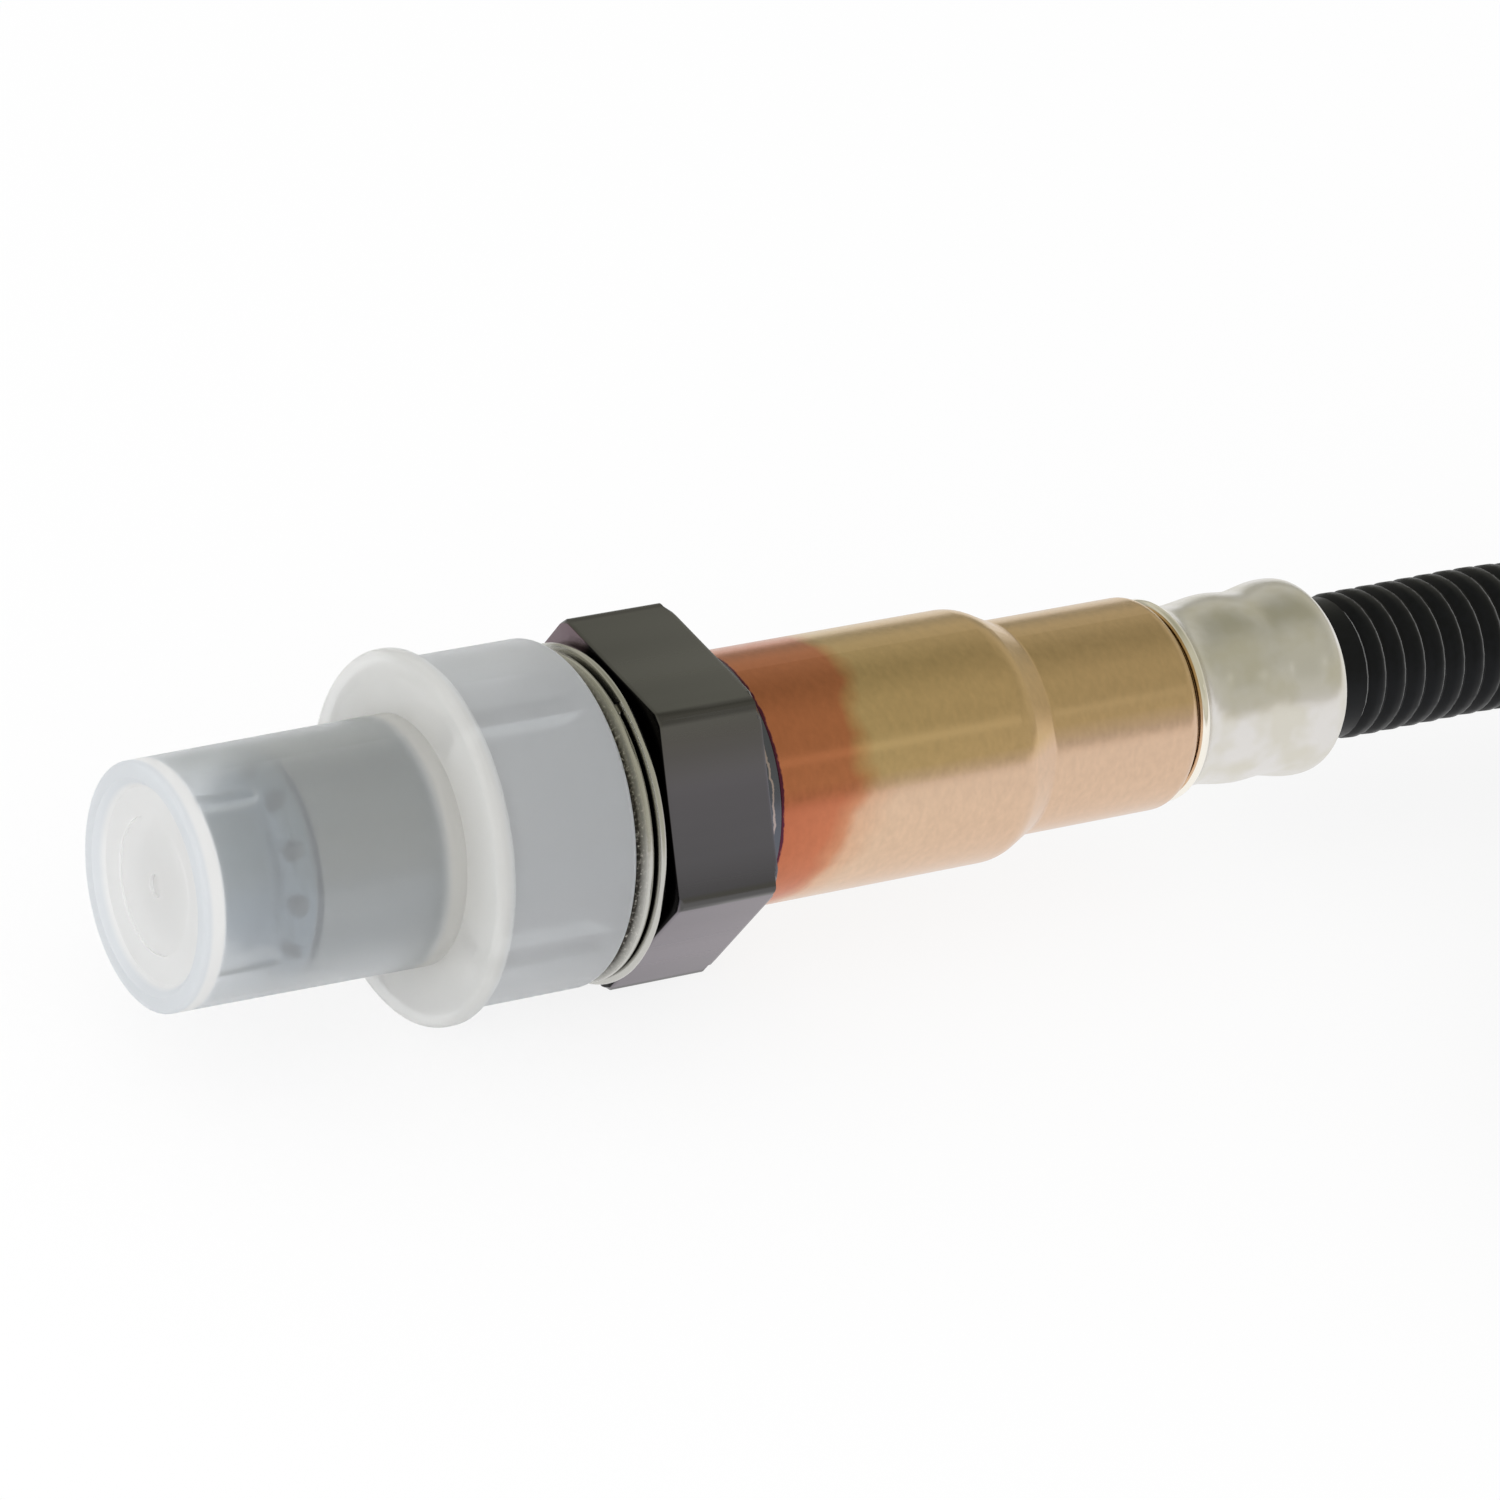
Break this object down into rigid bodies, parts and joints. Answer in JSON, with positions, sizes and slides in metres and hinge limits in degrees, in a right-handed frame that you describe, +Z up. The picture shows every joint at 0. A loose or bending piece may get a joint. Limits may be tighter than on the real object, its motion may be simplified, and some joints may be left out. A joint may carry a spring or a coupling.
{
  "type": "oxygen sensor",
  "caption": "Threaded exhaust gas sensor: hexagon body, folded sealing ring, clear pull-off cap over a drilled tip, stepped sleeve, crimped collar, ribbed lead with plug.",
  "frame": {"origin": "on the sensor's axis, in the plane of the hexagon's front face where the sealing ring seats", "axes": "+X along the axis towards the lead, so the tip points to -X; +Z up, with one flat of the hexagon facing down; the coiled lead lies on the -Y side"},
  "size_m": [0.2206, 0.1399, 0.0288],
  "materials": {
    "housing_steel": "dark satin, finely turned",
    "tube_steel": "drawn stainless, satin",
    "ring_steel": "bright folded sheet",
    "cap_polyethylene": "natural translucent polyethylene, satin gloss",
    "zirconia": "matt fired ceramic",
    "steatite": "matt fired ceramic",
    "talc": "pressed powder",
    "tinted_sleeve_steel": "satin with heat tint: copper near the weld, straw behind",
    "collar_steel": "bright drawn and crimped",
    "seal_rubber": "matt fluoro rubber",
    "contact_nickel": "rolled strip",
    "wire_white": "smooth insulation",
    "wire_grey": "smooth insulation",
    "wire_black": "smooth insulation",
    "conduit_polyamide": "satin black corrugated sheath",
    "tie_nylon": "satin black",
    "plug_plastic": "moulded, fine grain",
    "plug_silicone": "matt silicone",
    "lock_plastic": "moulded",
    "terminal_tin": "tin-plated strip"
  },
  "bodies": {
    "sensor": {"hex_housing": "housing_steel", "outer_shield": "tube_steel", "inner_shield": "tube_steel", "seat_gasket": "ring_steel", "sensing_element": "zirconia", "front_insulator": "steatite", "talc_packing": "talc", "rear_insulator": "steatite", "retaining_ring": "tube_steel", "shell_sleeve": "tinted_sleeve_steel", "crimp_collar": "collar_steel", "contact_holder_upper": "steatite", "contact_holder_lower": "steatite", "holder_clip": "tube_steel", "wire_seal": "seal_rubber", "contact_1": "contact_nickel", "contact_2": "contact_nickel", "contact_3": "contact_nickel", "contact_4": "contact_nickel", "lead_wire_1": "wire_white", "lead_wire_2": "wire_white", "lead_wire_3": "wire_grey", "lead_wire_4": "wire_black", "conduit_run": "conduit_polyamide", "conduit_coil": "conduit_polyamide", "conduit_tail": "conduit_polyamide", "coil_tie": "tie_nylon", "connector_rear_cover": "plug_plastic", "connector_wire_seal": "plug_silicone", "connector_housing": "plug_plastic", "connector_lock": "lock_plastic", "connector_terminal_1": "terminal_tin", "connector_terminal_2": "terminal_tin", "connector_terminal_3": "terminal_tin", "connector_terminal_4": "terminal_tin"},
    "cap": {"transport_cap": "cap_polyethylene"}
  },
  "joints": [
    {"name": "cap_pull", "type": "slide", "parent": "sensor", "child": "cap", "axis": [-1, 0, 0], "range_m": [0, 0.045]}
  ]
}
